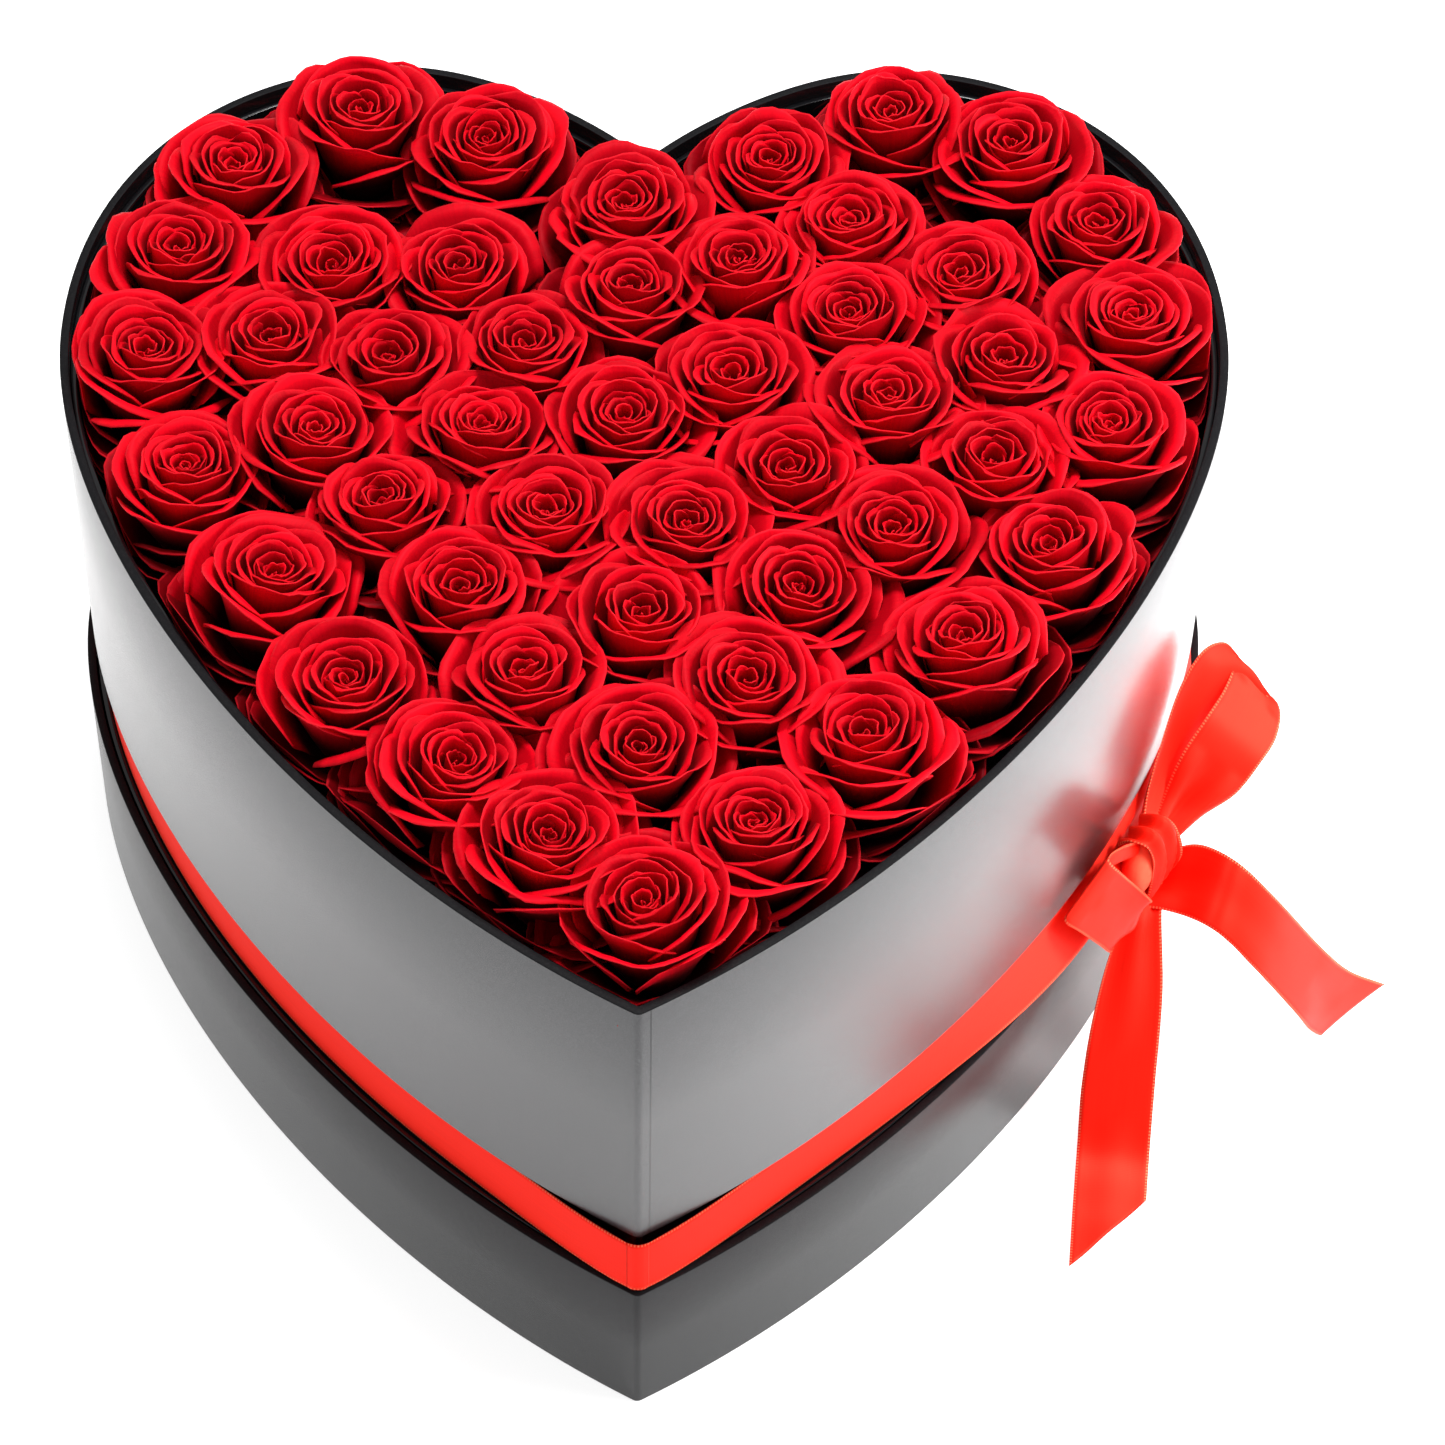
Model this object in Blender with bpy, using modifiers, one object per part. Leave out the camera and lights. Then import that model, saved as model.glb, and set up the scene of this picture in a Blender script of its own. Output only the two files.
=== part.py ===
"""Heart-shaped flower box: a cardboard box with a ribbon groove, standing in a shallow tray.

Metres, +Z up. The origin is at the middle of the tray's underside. The heart's point looks
towards -Y and its two lobes towards +Y. The box, with its foam, roses and ribbon, lifts
straight up out of the tray along +Z.
"""
import math

import bmesh
import bpy
import numpy as np
from mathutils import Vector
from mathutils.geometry import interpolate_bezier

# ---- driving dimensions (metres) ----
HEART_WIDTH = 0.390
HEART_LENGTH = 0.416
WIDEST_Y = 0.077            # the line across the heart's widest place
LOBE_TOP_X = 0.0875
NOTCH_Y = 0.161
TIP_SLOPE = math.radians(30.0)
NOTCH_SLOPE = math.radians(49.0)

BOX_HEIGHT = 0.207
TRAY_HEIGHT = 0.063
GROOVE_HEIGHT = 0.0265
BOARD = 0.003
LINER_BOARD = 0.002
FIT_GAP = 0.0006            # slip fit between the box and its tray
GLUE_GAP = 0.0003           # glued or resting faces
LINER_DROP = 0.005          # the liner ends this far below the rim

RIBBON_WIDTH = 0.025
RIBBON_THICKNESS = 0.0008
RIBBON_LIFT = 0.0008        # ribbon's lower edge above the tray's rim
TIP_SLACK = 0.006           # how far the ribbon stands off round the heart's point
TIP_SLACK_REACH = 0.045
BOW_SLACK = 0.0075          # and where it comes out of the groove past the bow
BOW_SLACK_REACH = 0.060
BOW_SLACK_PAST = 0.045
GROOVE_DEPTH = 0.0026       # the ribbon's face is this far inside the wall's
TIP_BEND = 0.009            # the ribbon turns round the heart's point over this length each side

FOAM_TOP = 0.166
FACE_LEVEL = 0.220          # tops of the rose heads, a little above the rim
HEAD_RADIUS = 0.0208
HEAD_HEIGHT = 0.052
PICK_RADIUS = 0.0022
PICK_DEPTH = 0.024          # how far a pick goes into the foam
HOLE_RADIUS = 0.0028

ROW_INSETS = (0.032, 0.105, 0.122)     # rose rows before they are pressed apart, in from the outer wall
ROW_COUNTS = (22, 17, 10)
ROW_CROWDING = ((1.08, 1.19), (1.27, 1.21), (0.66, 0.90))   # towards the front, right and left halves
MIDDLE_ROSE = (0.042, -0.005)
CLOSEST_PITCH = 0.0428
PRESSING_STEPS = 200
PRESSING = 0.25                        # share of each overlap taken up in one step

BOW_SEAT_Y = -0.0374        # where the bow sits on the right-hand wall
KNOT_SIZE = (0.016, 0.010, 0.024)      # along the wall, out of it and up
KNOT_PLACE = (0.0, 10.0, 77.0)         # in the bow's own millimetres
KNOT_ROUNDING = 0.003

# how far each bend of the heart's outline keeps its direction
TIP_REACH = 0.1316
SIDE_REACH = 0.0897
SHOULDER_REACH = 0.0849
LOBE_REACH = 0.0541
BROW_REACH = 0.0348
NOTCH_REACH = 0.0223


def clear_scene():
    for item in list(bpy.data.objects):
        bpy.data.objects.remove(item, do_unlink=True)


def new_collection(name):
    collection = bpy.data.collections.new(name)
    bpy.context.scene.collection.children.link(collection)
    return collection


def material(name, colour, roughness, metallic=0.0):
    made = bpy.data.materials.new(name)
    made.use_nodes = True
    shader = made.node_tree.nodes["Principled BSDF"]
    shader.inputs["Base Color"].default_value = (*colour, 1.0)
    shader.inputs["Roughness"].default_value = roughness
    shader.inputs["Metallic"].default_value = metallic
    return made


# ---- the heart outline ----

def heart_outline(side=16, shoulder=9, lobe=8):
    """Closed heart, anticlockwise from the tip, as an array of points."""
    tip = Vector((0.0, -HEART_LENGTH / 2))
    wide = Vector((HEART_WIDTH / 2, WIDEST_Y))
    top = Vector((LOBE_TOP_X, HEART_LENGTH / 2))
    notch = Vector((0.0, NOTCH_Y))
    out_of_tip = Vector((math.cos(TIP_SLOPE), math.sin(TIP_SLOPE))) * TIP_REACH
    out_of_notch = Vector((math.cos(NOTCH_SLOPE), math.sin(NOTCH_SLOPE))) * NOTCH_REACH
    pieces = (
        (tip, tip + out_of_tip, wide - Vector((0, SIDE_REACH)), wide, side),
        (wide, wide + Vector((0, SHOULDER_REACH)), top + Vector((LOBE_REACH, 0)), top, shoulder),
        (top, top - Vector((BROW_REACH, 0)), notch + out_of_notch, notch, lobe),
    )
    right = []
    for start, handle_a, handle_b, end, count in pieces:
        stretch = interpolate_bezier(start.to_3d(), handle_a.to_3d(), handle_b.to_3d(), end.to_3d(), count + 1)
        right += [point.xy for point in stretch[:-1]]
    left = [Vector((-point.x, point.y)) for point in reversed(right[1:])]
    return np.array([tuple(point) for point in right + [notch] + left])


def edge_normals(outline):
    """Unit normals of an anticlockwise outline's edges, pointing in."""
    edges = np.roll(outline, -1, axis=0) - outline
    normals = np.stack([-edges[:, 1], edges[:, 0]], axis=1)
    return normals / np.linalg.norm(normals, axis=1)[:, None]


def parallel(outline, inwards):
    """The same corners moved in (or out, if negative) so that every edge moves by the same distance."""
    after = edge_normals(outline)
    before = np.roll(after, 1, axis=0)
    middle = before + after
    middle /= np.linalg.norm(middle, axis=1)[:, None]
    reach = inwards / np.sum(middle * after, axis=1)
    return outline + middle * reach[:, None]


def resample(outline, count):
    loop = np.vstack([outline, outline[:1]])
    steps = np.linalg.norm(np.diff(loop, axis=0), axis=1)
    along = np.concatenate([[0.0], np.cumsum(steps)])
    wanted = np.linspace(0.0, along[-1], count, endpoint=False)
    return np.stack([np.interp(wanted, along, loop[:, axis]) for axis in (0, 1)], axis=1)


def distance_to(outline, points):
    """Distance of each point from a closed outline."""
    ends = np.roll(outline, -1, axis=0)
    edges = ends - outline
    offsets = points[:, None, :] - outline[None]
    share = np.sum(offsets * edges, axis=2) / np.sum(edges * edges, axis=1)
    nearest = outline + np.clip(share, 0.0, 1.0)[..., None] * edges
    return np.linalg.norm(points[:, None, :] - nearest, axis=2).min(axis=1)


def inset_curve(outline, distance):
    """The curve a fixed distance inside an outline, without the loops a plain offset leaves."""
    dense = resample(outline, 700)
    normals = edge_normals(dense)
    points = []
    for corner, before, after in zip(dense, np.roll(normals, 1, axis=0), normals):
        turns = 8 if before @ after < 0.95 else 1
        for share in np.arange(turns) / turns:
            normal = before * (1 - share) + after * share
            points.append(corner + normal / np.linalg.norm(normal) * distance)
    points = np.array(points)
    return points[distance_to(dense, points) > distance - 0.0004]


def walk_row(curve, count, crowding):
    """Evenly spaced places along a closed row, from the front; crowding bunches a half to the front."""
    start = np.argmin(np.abs(curve[:, 0]) + (curve[:, 1] > curve[:, 1].mean()))
    fine = resample(np.roll(curve, -start, axis=0), 2000)
    right, left = crowding
    places = []
    for number in range(count):
        share = number / count
        if share <= 0.5:
            share = 0.5 * (2 * share) ** right
        else:
            share = 1.0 - 0.5 * (2 * (1.0 - share)) ** left
        places.append(fine[int(round(share * 2000)) % 2000])
    return places


def rose_places(outline):
    """Roses in rows along the wall and one in the middle, then pressed apart until none crowds another."""
    places = []
    for inset, count, crowding in zip(ROW_INSETS, ROW_COUNTS, ROW_CROWDING):
        places += walk_row(inset_curve(outline, inset), count, crowding)
    places = np.array(places + [np.array(MIDDLE_ROSE)])
    for _ in range(PRESSING_STEPS):
        gaps = places[:, None, :] - places[None]
        lengths = np.linalg.norm(gaps, axis=2) + np.eye(len(places))
        push = np.clip(CLOSEST_PITCH - lengths, 0.0, None) * (1 - np.eye(len(places)))
        places = places + PRESSING * np.sum(gaps / lengths[..., None] * push[..., None], axis=1)
    return places


# ---- solids ----

def plate(name, outlines, low, high, look, collection):
    """A flat board: a filled 2D curve of one outline, or of two for a ring, raised from low to high."""
    curve = bpy.data.curves.new(name, "CURVE")
    curve.dimensions = "2D"
    curve.fill_mode = "BOTH"
    curve.extrude = (high - low) / 2
    for outline in outlines:
        spline = curve.splines.new("POLY")
        spline.points.add(len(outline) - 1)
        for point, place in zip(spline.points, outline):
            point.co = (place[0], place[1], 0.0, 1.0)
        spline.use_cyclic_u = True
    board = bpy.data.objects.new(name, curve)
    board.location.z = (low + high) / 2
    collection.objects.link(board)
    curve.materials.append(look)
    add_weld(board)
    return board


def add_weld(item):
    weld = item.modifiers.new("Weld", "WELD")
    weld.merge_threshold = 0.00005


def to_mesh(item):
    """Replaces a curve object by the closed mesh it makes."""
    bpy.context.view_layer.update()
    evaluated = item.evaluated_get(bpy.context.evaluated_depsgraph_get())
    mesh = bpy.data.meshes.new_from_object(evaluated)
    name, collection, place = item.name, item.users_collection[0], item.matrix_world.copy()
    bpy.data.objects.remove(item, do_unlink=True)
    solid = bpy.data.objects.new(name, mesh)
    solid.matrix_world = place
    collection.objects.link(solid)
    return solid


def boolean(target, cutter, operation):
    cut = target.modifiers.new(operation.title(), "BOOLEAN")
    cut.operation = operation
    cut.solver = "EXACT"
    cut.object = cutter
    cutter.hide_render = True
    cutter.display_type = "WIRE"


def join(objects):
    """Joins objects into the first one as loose parts of a single mesh."""
    merged = bmesh.new()
    for item in objects:
        start = len(merged.verts)
        merged.from_mesh(item.data)
        merged.verts.ensure_lookup_table()
        for vertex in merged.verts[start:]:
            vertex.co = item.matrix_world @ vertex.co
    merged.to_mesh(objects[0].data)
    merged.free()
    objects[0].matrix_world.identity()
    for item in objects[1:]:
        bpy.data.objects.remove(item, do_unlink=True)
    return objects[0]


def flower_foam(outline, places, look, collection, cutters):
    """Heart-shaped foam block with a blind hole for every rose pick."""
    low = BOARD + GLUE_GAP + BOARD + GLUE_GAP
    inset = BOARD + GLUE_GAP + LINER_BOARD + GLUE_GAP
    foam = to_mesh(plate("flower_foam", [parallel(outline, inset)], low, FOAM_TOP, look, collection))
    depth = PICK_DEPTH + 0.003
    drills = []
    for place in places:
        bpy.ops.mesh.primitive_cylinder_add(
            vertices=6, radius=HOLE_RADIUS, depth=2 * depth, location=(place[0], place[1], FOAM_TOP))
        drill = bpy.context.object
        for owner in list(drill.users_collection):
            owner.objects.unlink(drill)
        drills.append(drill)
    bpy.context.view_layer.update()
    holes = join(drills)
    holes.name = "pick_holes"
    cutters.objects.link(holes)
    boolean(foam, holes, "DIFFERENCE")
    return foam


def rose_mesh(look):
    """A plain turned rose: cupped head, calyx and pick, drawn from its face down."""
    pick_foot = FOAM_TOP - PICK_DEPTH - FACE_LEVEL
    profile = (
        (0.0, -0.004), (0.5 * HEAD_RADIUS, 0.0), (HEAD_RADIUS, -0.010), (0.95 * HEAD_RADIUS, -0.030),
        (0.42 * HEAD_RADIUS, 0.003 - HEAD_HEIGHT), (PICK_RADIUS, -HEAD_HEIGHT),
        (PICK_RADIUS, pick_foot), (0.0, pick_foot),
    )
    mesh = bpy.data.meshes.new("rose")
    outline = bmesh.new()
    corners = [outline.verts.new((radius, 0.0, height)) for radius, height in profile]
    for upper, lower in zip(corners, corners[1:]):
        outline.edges.new((upper, lower))
    outline.to_mesh(mesh)
    outline.free()
    mesh.materials.append(look)
    return mesh


def rose(name, mesh, place, collection):
    head = bpy.data.objects.new(name, mesh)
    head.location = (place[0], place[1], FACE_LEVEL)
    turn = head.modifiers.new("Screw", "SCREW")
    turn.steps = 8
    turn.render_steps = 8
    turn.use_merge_vertices = True
    turn.merge_threshold = 0.00005
    collection.objects.link(head)
    return head


# ---- the ribbon ----

def band_path(outline):
    """The ribbon's line: down in the groove, slack round the tip and standing out at the bow."""
    line = parallel(outline, GROOVE_DEPTH)
    normals = -edge_normals(line)
    seat, along, out = bow_frame(outline)
    widest = seat + along * BOW_SLACK_PAST
    tip = line[0]
    moved = []
    for corner, normal in zip(line, normals):
        near_tip = math.exp(-((np.linalg.norm(corner - tip) / TIP_SLACK_REACH) ** 2))
        near_bow = math.exp(-((np.linalg.norm(corner - widest) / BOW_SLACK_REACH) ** 2))
        moved.append(corner + normal * BOW_SLACK * near_bow + np.array([0.0, -TIP_SLACK]) * near_tip)
    return np.array(round_tip(moved))


def round_tip(line, steps=4):
    """Replaces the sharp first corner of a closed line by a short curve."""
    corner = line[0]
    start = corner + (line[-1] - corner) / np.linalg.norm(line[-1] - corner) * TIP_BEND
    end = corner + (line[1] - corner) / np.linalg.norm(line[1] - corner) * TIP_BEND
    bend = []
    for share in np.linspace(0.0, 1.0, steps + 1):
        bend.append(start * (1 - share) ** 2 + corner * 2 * share * (1 - share) + end * share ** 2)
    middle = steps // 2
    return bend[middle:] + line[1:] + bend[:middle]


def bow_frame(outline):
    """The bow's seat on the wall, with the directions along the wall and out of it."""
    dense = resample(outline, 1200)
    right = dense[:600]
    index = int(np.argmin(np.abs(right[:, 1] - BOW_SEAT_Y) + (right[:, 0] < 0.05)))
    along = right[index + 3] - right[index - 3]
    along /= np.linalg.norm(along)
    out = np.array([along[1], -along[0]])
    return right[index], along, out


def bow_point(frame, along, out, height):
    """A point given in millimetres along the wall, out of it and above the table."""
    seat, direction, normal = frame
    flat = seat + direction * along * 0.001 + normal * out * 0.001
    return Vector((flat[0], flat[1], height * 0.001))


def bow_vector(frame, along, out, height):
    return bow_point(frame, along, out, height) - bow_point(frame, 0.0, 0.0, 0.0)


def strip(name, frame, stations, look, collection, samples=2):
    """A ribbon: a smooth sheet through stations, each a centre line point and its width."""
    centres = [bow_point(frame, *centre) for centre, width in stations]
    widths = [bow_vector(frame, *width) for centre, width in stations]
    sheet = bmesh.new()
    rows = []
    for centre, width in zip(through(centres, samples), through(widths, samples)):
        rows.append((sheet.verts.new(centre - width / 2), sheet.verts.new(centre + width / 2)))
    for row, following in zip(rows, rows[1:]):
        sheet.faces.new((row[0], row[1], following[1], following[0]))
    return ribbon_object(name, sheet, look, collection)


def ribbon_object(name, sheet, look, collection):
    mesh = bpy.data.meshes.new(name)
    sheet.to_mesh(mesh)
    sheet.free()
    mesh.materials.append(look)
    ribbon = bpy.data.objects.new(name, mesh)
    collection.objects.link(ribbon)
    thicken = ribbon.modifiers.new("Solidify", "SOLIDIFY")
    thicken.thickness = RIBBON_THICKNESS
    thicken.offset = 0.0
    thicken.use_even_offset = True
    return ribbon


def through(points, samples):
    """A smooth line through points, with the same number of steps between each two."""
    ends = [2 * points[0] - points[1]] + list(points) + [2 * points[-1] - points[-2]]
    line = []
    for before, start, end, after in zip(ends, ends[1:], ends[2:], ends[3:]):
        handle_a = start + (end - before) / 6
        handle_b = end - (after - start) / 6
        line += interpolate_bezier(start, handle_a, handle_b, end, samples + 1)[:-1]
    return line + [points[-1]]


# Bow stations, in millimetres: (along the wall, out of it, height), (width there)
UPPER_LOOP = (
    ((3, 8, 80), (3, 2, -9)),
    ((16, 7.5, 83), (4, 8, -17)),
    ((33, 6, 90), (2, 11, -20)),
    ((48, 6, 99), (-1, 14, -20)),
    ((61, 9, 105), (-3, 17, -18)),
    ((69, 15, 105.5), (-4, 20, -14)),
    ((68, 20, 101.5), (-4, 20, -14)),
    ((58, 22, 98), (-2, 21, -14)),
    ((46, 21, 95.5), (1, 21, -14)),
    ((33, 18, 89.5), (3, 20, -13)),
    ((22, 14, 84), (4, 11, -14)),
    ((10, 12.5, 80), (3, 5, -11)),
    ((3, 11.5, 77), (2, 2, -8)),
)
LOWER_LOOP = (
    ((-1, 8, 80), (-4, -1, -8)),
    ((-12, 7.5, 84), (-11, -3, -14)),
    ((-24, 5, 90), (-19, -4, -13)),
    ((-33, 2.5, 93.5), (-23, -5, -10)),
    ((-36, 3.5, 93), (-23, -5, -10)),
    ((-33.5, 8, 87), (-23, -5, -8)),
    ((-28, 13.5, 76), (-24, -5, -5)),
    ((-24, 16, 68.5), (-24, -4.5, -4)),
    ((-19.5, 14.5, 64.5), (-21, -4, -3)),
    ((-12, 12, 66), (-12, -2, -5)),
    ((-3, 12, 71), (-6, -1, -6)),
)
TAILS = (
    ((-97.5, 46, 1.2), (37, 8, 0)),
    ((-68, 34.5, 6), (9, 23, 1)),
    ((-52, 28, 22), (12, 22, 2)),
    ((-34, 22, 42), (16, 18, 2)),
    ((-17, 19, 56), (19, 10, 2)),
    ((-8, 20, 61), (19, 5, 7)),
    ((-5, 27, 68), (15, 0, 18)),
    ((-7, 38, 73), (18, -3, 17)),
    ((-2.5, 53.5, 59), (19, -1, 16)),
    ((12, 71, 30), (17, -4, 17)),
    ((22.7, 79, 13.5), (22, 5, 8)),
    ((29.5, 84, 2.2), (27, 12, 0)),
)


def ribbon_band(outline, look, collection):
    """The ribbon round the groove: an upright closed sheet given its thickness."""
    low = TRAY_HEIGHT + RIBBON_LIFT
    sheet = bmesh.new()
    columns = []
    for place in band_path(outline):
        columns.append([sheet.verts.new((place[0], place[1], low + rise)) for rise in (0.0, RIBBON_WIDTH)])
    for column, following in zip(columns, columns[1:] + columns[:1]):
        sheet.faces.new((column[0], following[0], following[1], column[1]))
    return ribbon_object("ribbon_band", sheet, look, collection)


def ribbon_bow(frame, look, collection, cutters):
    """Knot and two loops, joined where they are tied."""
    bpy.ops.mesh.primitive_cube_add(size=1.0)
    knot = bpy.context.object
    knot.name = "ribbon_bow"
    knot.data.name = "ribbon_bow"
    knot.data.materials.append(look)
    for owner in list(knot.users_collection):
        owner.objects.unlink(knot)
    collection.objects.link(knot)
    for vertex in knot.data.vertices:
        vertex.co = Vector([part * whole for part, whole in zip(vertex.co, KNOT_SIZE)])
    knot.location = bow_point(frame, *KNOT_PLACE)
    knot.rotation_euler.z = math.atan2(frame[1][1], frame[1][0])
    round_edges = knot.modifiers.new("Bevel", "BEVEL")
    round_edges.width = KNOT_ROUNDING
    round_edges.segments = 2
    for name, stations in (("upper_loop", UPPER_LOOP), ("lower_loop", LOWER_LOOP)):
        boolean(knot, strip(name, frame, stations, look, cutters), "UNION")
    return knot


def build():
    clear_scene()
    parts = new_collection("heart_flower_box")
    cutters = new_collection("cutters")
    tray_paper = material("tray_paper", (0.20, 0.20, 0.21), 0.38, 0.5)
    wall_paper = material("wall_paper", (0.22, 0.22, 0.23), 0.35, 0.5)
    black_board = material("black_board", (0.012, 0.012, 0.013), 0.35)
    foam_look = material("foam", (0.02, 0.03, 0.02), 0.95)
    satin = material("satin_ribbon", (0.85, 0.03, 0.015), 0.35)
    petals = material("rose_petals", (0.62, 0.004, 0.015), 0.6)

    outline = heart_outline()
    box_low = BOARD + GLUE_GAP
    liner_in = BOARD + GLUE_GAP
    upper_low = TRAY_HEIGHT + GROOVE_HEIGHT

    tray_in = parallel(outline, -FIT_GAP)
    tray_out = parallel(outline, -FIT_GAP - BOARD)
    plate("tray_wall", [tray_out, tray_in], 0.0, TRAY_HEIGHT, tray_paper, parts)
    plate("tray_floor", [parallel(outline, GLUE_GAP - FIT_GAP)], 0.0, BOARD, tray_paper, parts)

    wall_in = parallel(outline, BOARD)
    plate("lower_wall", [outline, wall_in], box_low, TRAY_HEIGHT - 0.0005, black_board, parts)
    plate("upper_wall", [outline, wall_in], upper_low, BOX_HEIGHT, wall_paper, parts)
    liner_rings = [parallel(outline, liner_in), parallel(outline, liner_in + LINER_BOARD)]
    plate("neck_liner", liner_rings, box_low, BOX_HEIGHT - LINER_DROP, black_board, parts)
    floor_outline = parallel(outline, liner_in + LINER_BOARD + GLUE_GAP)
    plate("box_floor", [floor_outline], box_low, box_low + BOARD, black_board, parts)

    places = rose_places(outline)
    flower_foam(outline, places, foam_look, parts, cutters)
    shared = rose_mesh(petals)
    for number, place in enumerate(places, start=1):
        rose(f"rose_{number:02d}", shared, place, parts)

    ribbon_band(outline, satin, parts)
    frame = bow_frame(outline)
    ribbon_bow(frame, satin, parts, cutters)
    strip("ribbon_tails", frame, TAILS, satin, parts)


build()
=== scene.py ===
"""A heart-shaped flower box filled with preserved red roses, tied round its neck with satin ribbon.

Metres, +Z up; the origin is under the middle of the tray and the heart's point looks towards -Y.
"""
import math
import random

import bmesh
import bpy
import numpy as np
from mathutils import Matrix, Quaternion, Vector
from mathutils.geometry import interpolate_bezier


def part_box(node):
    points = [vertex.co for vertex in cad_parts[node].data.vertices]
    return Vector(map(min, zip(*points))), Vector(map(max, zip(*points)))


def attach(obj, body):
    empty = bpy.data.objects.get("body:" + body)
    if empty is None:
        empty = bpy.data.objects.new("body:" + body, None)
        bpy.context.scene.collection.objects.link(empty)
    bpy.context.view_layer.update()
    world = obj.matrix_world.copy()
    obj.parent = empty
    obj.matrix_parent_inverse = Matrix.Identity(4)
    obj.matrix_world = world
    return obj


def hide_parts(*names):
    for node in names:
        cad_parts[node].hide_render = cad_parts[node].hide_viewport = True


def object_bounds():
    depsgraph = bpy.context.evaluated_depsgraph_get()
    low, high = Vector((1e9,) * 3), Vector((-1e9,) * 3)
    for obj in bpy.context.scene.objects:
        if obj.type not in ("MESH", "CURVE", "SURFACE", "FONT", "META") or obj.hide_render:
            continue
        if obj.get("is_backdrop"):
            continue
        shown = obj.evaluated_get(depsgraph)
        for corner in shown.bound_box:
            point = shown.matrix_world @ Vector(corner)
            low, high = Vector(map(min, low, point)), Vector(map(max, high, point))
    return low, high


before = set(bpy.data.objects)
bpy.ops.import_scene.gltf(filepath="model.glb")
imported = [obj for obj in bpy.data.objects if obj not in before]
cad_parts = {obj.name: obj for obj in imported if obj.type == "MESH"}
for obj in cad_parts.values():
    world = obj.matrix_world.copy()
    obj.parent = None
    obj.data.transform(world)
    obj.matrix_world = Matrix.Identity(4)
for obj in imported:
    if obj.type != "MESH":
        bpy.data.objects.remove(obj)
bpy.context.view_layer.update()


# ---- Camera ----
# Looks down on the heart's point from the front, fifty degrees above level.

lens = bpy.data.cameras.new("lens")
lens.lens = 114.5
lens.sensor_width = 36.0
lens.shift_x = 0.024
lens.shift_y = 0.0188
camera = bpy.data.objects.new("camera", lens)
bpy.context.scene.collection.objects.link(camera)
bpy.context.scene.camera = camera
camera_roll = Quaternion((0.0, 0.0, 1.0), math.radians(0.91))
camera.location = (0.0041, -1.0180, 1.2943)
camera.rotation_mode = "QUATERNION"
camera.rotation_quaternion = Vector((0.0073, 0.6427, -0.7660)).to_track_quat("-Z", "Y") @ camera_roll


# ---- Floor and studio light ----
# A white light table in an even bright room, with a soft light overhead, a weak one from the
# left, a broad one facing the right-hand wall and a spot on the table beside the bow, whose glow
# from below puts the sheen on the ribbon.

bpy.context.scene.view_settings.view_transform = "Standard"

FLOOR_REACH = 3.0


def made_node(tree, kind, **settings):
    """A new node of a tree, with its settings."""
    node = tree.nodes.new(kind)
    for name, value in settings.items():
        setattr(node, name, value)
    return node


def new_look(name, colour, roughness, metallic=0.0):
    """A material whose shader has these plain values, with its node tree and shader."""
    look = bpy.data.materials.new(name)
    look.use_nodes = True
    look.diffuse_color = (*colour, 1.0)
    shader = look.node_tree.nodes["Principled BSDF"]
    shader.inputs["Base Color"].default_value = (*colour, 1.0)
    shader.inputs["Roughness"].default_value = roughness
    shader.inputs["Metallic"].default_value = metallic
    return look, look.node_tree, shader


def two_tone(tree, mask, dark, light):
    """A colour between two, as a mask goes from 0 to 1."""
    shade = made_node(tree, "ShaderNodeMix", data_type="RGBA")
    shade.inputs["A"].default_value = (*dark, 1.0)
    shade.inputs["B"].default_value = (*light, 1.0)
    tree.links.new(mask, shade.inputs["Factor"])
    return shade.outputs["Result"]


floor_look, tree, shader = new_look("studio_board", (0.75, 0.75, 0.75), 0.7)
mottle = made_node(tree, "ShaderNodeTexNoise")
mottle.inputs["Scale"].default_value = 3.0
place = made_node(tree, "ShaderNodeTexCoord")
tree.links.new(place.outputs["Object"], mottle.inputs["Vector"])
pale = two_tone(tree, mottle.outputs["Fac"], (0.73, 0.73, 0.73), (0.77, 0.77, 0.77))
tree.links.new(pale, shader.inputs["Base Color"])
shader.inputs["Emission Color"].default_value = (1.0, 1.0, 1.0, 1.0)
shader.inputs["Emission Strength"].default_value = 0.70

sweep = bmesh.new()
bmesh.ops.create_grid(sweep, x_segments=8, y_segments=8, size=FLOOR_REACH)
floor_mesh = bpy.data.meshes.new("studio_floor")
sweep.to_mesh(floor_mesh)
sweep.free()
floor_mesh.materials.append(floor_look)
floor = bpy.data.objects.new("studio_floor", floor_mesh)
bpy.context.scene.collection.objects.link(floor)
floor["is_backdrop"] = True

room = bpy.data.worlds.new("studio_room")
room.use_nodes = True
room.node_tree.nodes["Background"].inputs["Color"].default_value = (1.0, 1.0, 1.0, 1.0)
room.node_tree.nodes["Background"].inputs["Strength"].default_value = 0.52
bpy.context.scene.world = room


def soft_light(name, place, aim, width, watts, beam=180.0):
    """A square studio softbox at a place, turned towards the point it lights."""
    box = bpy.data.lights.new(name, "AREA")
    box.shape = "SQUARE"
    box.size = width
    box.energy = watts
    box.spread = math.radians(beam)
    lamp = bpy.data.objects.new(name, box)
    lamp.location = place
    lamp.rotation_mode = "QUATERNION"
    lamp.rotation_quaternion = (Vector(aim) - Vector(place)).to_track_quat("-Z", "Y")
    bpy.context.scene.collection.objects.link(lamp)


soft_light("overhead_softbox", (0.10, 0.30, 1.7), (0.0, 0.0, 0.1), 0.55, 25.0)
soft_light("left_softbox", (-1.5, -0.9, 0.9), (0.0, 0.0, 0.12), 0.7, 2.5)
soft_light("right_softbox", (1.40, 0.00, 0.55), (0.15, -0.08, 0.07), 1.1, 20.0)
soft_light("table_spot", (0.80, 0.00, 0.75), (0.46, -0.06, 0.0), 0.25, 2.2, beam=60.0)


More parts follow.
